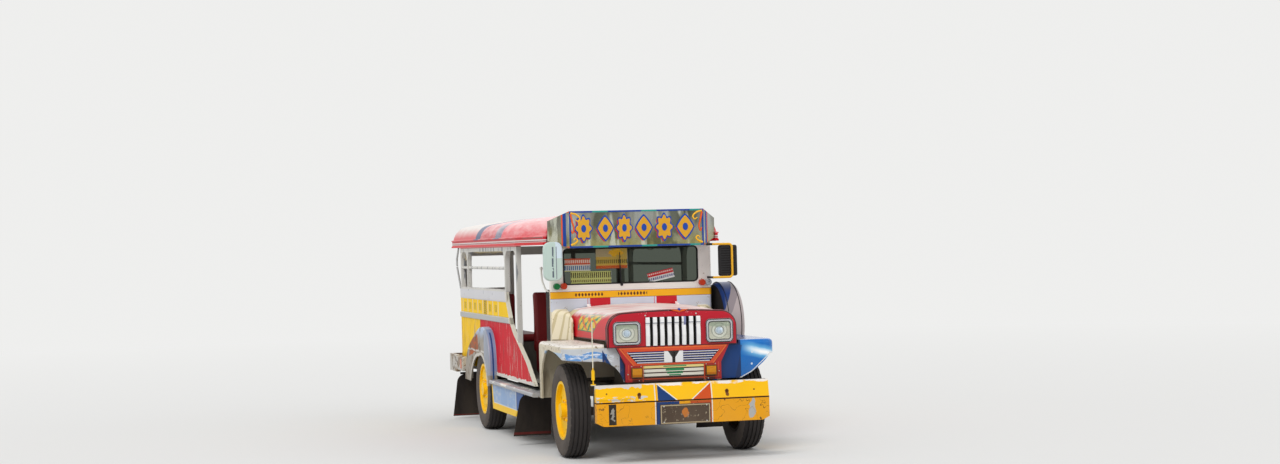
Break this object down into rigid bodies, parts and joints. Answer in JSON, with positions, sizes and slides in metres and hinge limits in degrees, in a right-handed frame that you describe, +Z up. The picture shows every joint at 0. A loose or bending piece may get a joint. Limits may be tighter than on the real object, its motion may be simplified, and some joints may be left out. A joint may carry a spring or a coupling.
{
  "type": "jeepney",
  "caption": "Long open-sided passenger vehicle with side benches, crowned roof, sign visor, flared rear wheel covers, spare wheel and a hood that lifts.",
  "frame": {"origin": "on the ground, in the middle of the overall length and width", "axes": "+Z up, -Y towards the nose, +X towards the driver's side (the vehicle's left)"},
  "size_m": [2.07, 5.99, 2.115],
  "materials": {
    "rail_steel": "black chassis paint, dusty",
    "axle_steel": "dark oily iron",
    "engine_iron": "oily cast iron",
    "exhaust_steel": "heat-stained, rusty",
    "tank_paint": "black paint",
    "floor_steel": "worn grey paint",
    "cream_paint": "cream enamel, chalky",
    "white_paint": "white enamel, worn",
    "red_paint": "red enamel, worn",
    "blue_paint": "blue enamel, glossy",
    "yellow_paint": "yellow enamel, chipped",
    "bumper_paint": "yellow enamel over white, chipped",
    "side_paint": "red, yellow and white enamel, faded streaks",
    "roof_paint": "white and red enamel, faded",
    "visor_steel": "polished stainless sheet",
    "flare_metal": "stamped plain sheet",
    "step_metal": "tread sheet with a painted skirt",
    "flap_rubber": "matt black, dusty",
    "tyre_rubber": "matt, dusty sidewalls",
    "wheel_paint": "yellow enamel",
    "lamp_chrome": "chrome bezels, clear and coloured lenses",
    "glass": "clear laminated glass",
    "seat_vinyl": "red vinyl cover",
    "curtain_cloth": "tan coated cloth, rolled",
    "rail_chrome": "polished tube",
    "mirror_shell": "pale shells and yellow bracket",
    "spare_cover": "blue and silver cover",
    "column_black": "black rim and column"
  },
  "bodies": {
    "body": {"chassis_frame": "rail_steel", "leaf_springs": "axle_steel", "axles": "axle_steel", "propshaft": "axle_steel", "engine_block": "engine_iron", "exhaust": "exhaust_steel", "fuel_tank": "tank_paint", "floor_pan": "floor_steel", "cowl": "cream_paint", "steering_wheel": "column_black", "nose_panel": "red_paint", "grille": "white_paint", "lamps": "lamp_chrome", "fender_left": "blue_paint", "fender_right": "cream_paint", "front_bumper": "bumper_paint", "corner_pole": "yellow_paint", "windshield_frame": "white_paint", "windshield_glass": "glass", "visor": "visor_steel", "body_sides": "side_paint", "window_frames": "white_paint", "rear_portal": "white_paint", "roof": "roof_paint", "wheel_flares": "flare_metal", "side_steps": "step_metal", "mud_flaps": "flap_rubber", "rear_bumper": "white_paint", "spare_wheel": "spare_cover", "mirrors": "mirror_shell", "seats": "seat_vinyl", "grab_rails": "rail_chrome", "curtains": "curtain_cloth"},
    "hood": {"hood": "red_paint"},
    "knuckle_left": {"knuckle_left": "axle_steel"},
    "knuckle_right": {"knuckle_right": "axle_steel"},
    "tie_rod": {"tie_rod": "axle_steel"},
    "wheel_front_left": {"tyre_front_left": "tyre_rubber", "rim_front_left": "wheel_paint"},
    "wheel_front_right": {"tyre_front_right": "tyre_rubber", "rim_front_right": "wheel_paint"},
    "wheel_rear_left": {"tyre_rear_left": "tyre_rubber", "rim_rear_left": "wheel_paint"},
    "wheel_rear_right": {"tyre_rear_right": "tyre_rubber", "rim_rear_right": "wheel_paint"}
  },
  "joints": [
    {"name": "hood_lift", "type": "hinge", "parent": "body", "child": "hood", "pos_m": [0, -1.337, 1.272], "axis": [-1, 0, 0], "range_deg": [0, 50]},
    {"name": "steer_left", "type": "hinge", "parent": "body", "child": "knuckle_left", "pos_m": [0.62, -2.125, 0.402], "axis": [0, 0, 1], "range_deg": [-30, 30]},
    {"name": "steer_right", "type": "hinge", "parent": "body", "child": "knuckle_right", "pos_m": [-0.62, -2.125, 0.402], "axis": [0, 0, 1], "range_deg": [-30.5, 30.5]},
    {"name": "tie_rod_slide", "type": "slide", "parent": "body", "child": "tie_rod", "axis": [1, 0, 0], "range_m": [-0.08, 0.08]},
    {"name": "wheel_front_left_spin", "type": "hinge", "parent": "knuckle_left", "child": "wheel_front_left", "pos_m": [0.764, -2.125, 0.402], "axis": [-1, 0, 0], "continuous": true},
    {"name": "wheel_front_right_spin", "type": "hinge", "parent": "knuckle_right", "child": "wheel_front_right", "pos_m": [-0.764, -2.125, 0.402], "axis": [-1, 0, 0], "continuous": true},
    {"name": "wheel_rear_left_spin", "type": "hinge", "parent": "body", "child": "wheel_rear_left", "pos_m": [0.85, 1.075, 0.402], "axis": [-1, 0, 0], "continuous": true},
    {"name": "wheel_rear_right_spin", "type": "hinge", "parent": "body", "child": "wheel_rear_right", "pos_m": [-0.85, 1.075, 0.402], "axis": [-1, 0, 0], "continuous": true}
  ],
  "couplings": [
    {"joint": "steer_right", "follows": "steer_left", "ratio": 1},
    {"joint": "tie_rod_slide", "follows": "steer_left", "m_per_rad": -0.15}
  ]
}
